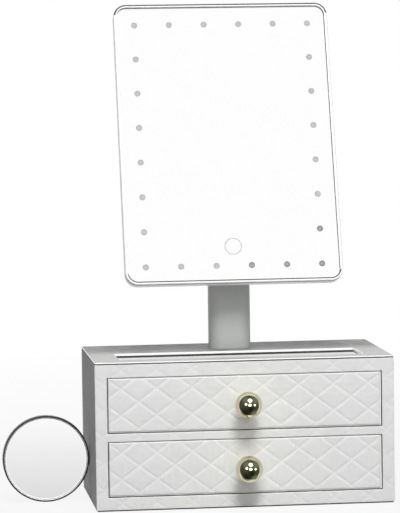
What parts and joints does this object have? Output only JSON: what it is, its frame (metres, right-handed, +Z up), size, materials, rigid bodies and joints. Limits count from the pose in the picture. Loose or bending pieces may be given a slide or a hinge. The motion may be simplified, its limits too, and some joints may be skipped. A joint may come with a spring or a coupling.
{
  "type": "vanity mirror with drawers",
  "caption": "Rectangular lighted mirror tilting on an oval stem above a quilted leather jewellery cabinet with wide drawers, ball knobs and a top tray, and a loose round magnifier.",
  "frame": {"origin": "centre of the cabinet's underside, on the surface it stands on", "axes": "+Z up, -Y towards the user in front of the mirror, +X to the user's right"},
  "size_m": [0.3883, 0.2076, 0.5022],
  "materials": {
    "felt": "pressed felt",
    "fibreboard": "fibreboard faced in white paper",
    "top_plate": "satin pearl grey",
    "velvet": "short pile",
    "quilted_leather": "quilted, fine grain",
    "side_leather": "smooth, fine grain",
    "glide_tape": "waxy",
    "stem_plastic": "satin silver",
    "steel_screws": "zinc plated",
    "battery_plastic": "moulded",
    "battery_cell": "plain sleeve",
    "contact_metal": "nickel plated",
    "white_plastic": "gloss white",
    "clear_glass": "polished",
    "silvering": "mirror",
    "frosting": "frosted",
    "circuit_board": "white solder mask",
    "light_chip": "phosphor",
    "hinge_steel": "plated",
    "chrome": "polished dark chrome",
    "magnifier_mirror": "mirror",
    "clear_rubber": "soft clear vinyl",
    "brass": "polished pale gold"
  },
  "bodies": {
    "cabinet": {"base_felt": "felt", "base_board": "fibreboard", "left_side_board": "fibreboard", "right_side_board": "fibreboard", "back_board": "fibreboard", "drawer_divider": "fibreboard", "top_board": "fibreboard", "top_plate": "top_plate", "tray_lining": "velvet", "frame_quilt": "quilted_leather", "outer_wrap": "side_leather", "drawer_glides": "glide_tape", "drawer_stops": "fibreboard", "stem_front_shell": "stem_plastic", "stem_rear_shell": "stem_plastic", "hinge_head": "stem_plastic", "stem_foot": "stem_plastic", "stem_screws": "steel_screws", "battery_cradle": "battery_plastic", "battery_cells": "battery_cell", "battery_contacts": "contact_metal"},
    "upper_drawer": {"upper_drawer_front_board": "fibreboard", "upper_drawer_left_side": "fibreboard", "upper_drawer_right_side": "fibreboard", "upper_drawer_back": "fibreboard", "upper_drawer_floor": "fibreboard", "upper_drawer_lining": "velvet", "upper_drawer_quilt": "quilted_leather", "upper_drawer_knob": "brass", "upper_drawer_knob_screw": "steel_screws"},
    "lower_drawer": {"lower_drawer_front_board": "fibreboard", "lower_drawer_left_side": "fibreboard", "lower_drawer_right_side": "fibreboard", "lower_drawer_back": "fibreboard", "lower_drawer_floor": "fibreboard", "lower_drawer_lining": "velvet", "lower_drawer_quilt": "quilted_leather", "lower_drawer_knob": "brass", "lower_drawer_knob_screw": "steel_screws"},
    "mirror_head": {"front_bezel": "white_plastic", "glass_pane": "clear_glass", "silver_coating": "silvering", "frosted_windows": "frosting", "light_board": "circuit_board", "led_chips": "light_chip", "control_board": "circuit_board", "rear_cover": "white_plastic", "rear_cover_screws": "steel_screws", "hinge_bracket": "hinge_steel", "bracket_screws": "steel_screws", "hinge_pin": "hinge_steel", "hinge_nut": "hinge_steel", "hinge_washers": "hinge_steel", "power_inlet": "contact_metal"},
    "power_switch": {"switch_slider": "white_plastic"},
    "battery_door": {"battery_door": "stem_plastic"},
    "magnifying_mirror": {"magnifier_rim": "chrome", "magnifier_glass": "magnifier_mirror", "magnifier_back": "white_plastic", "suction_cup": "clear_rubber"}
  },
  "joints": [
    {"name": "upper_drawer_slide", "type": "slide", "parent": "cabinet", "child": "upper_drawer", "axis": [0, -1, 0], "range_m": [0, 0.105]},
    {"name": "lower_drawer_slide", "type": "slide", "parent": "cabinet", "child": "lower_drawer", "axis": [0, -1, 0], "range_m": [0, 0.105]},
    {"name": "mirror_tilt", "type": "hinge", "parent": "cabinet", "child": "mirror_head", "pos_m": [0, 0.038, 0.279], "axis": [-1, 0, 0], "range_deg": [-18.5, 71.5]},
    {"name": "power_switch_slide", "type": "slide", "parent": "mirror_head", "child": "power_switch", "axis": [1, 0, 0], "range_m": [0, 0.003]},
    {"name": "battery_door_pull", "type": "slide", "parent": "cabinet", "child": "battery_door", "axis": [0, 1, 0], "range_m": [0, 0.05]},
    {"name": "magnifier_lift", "type": "slide", "parent": "cabinet", "child": "magnifying_mirror", "axis": [0, 0, 1], "range_m": [0, 0.12]}
  ]
}
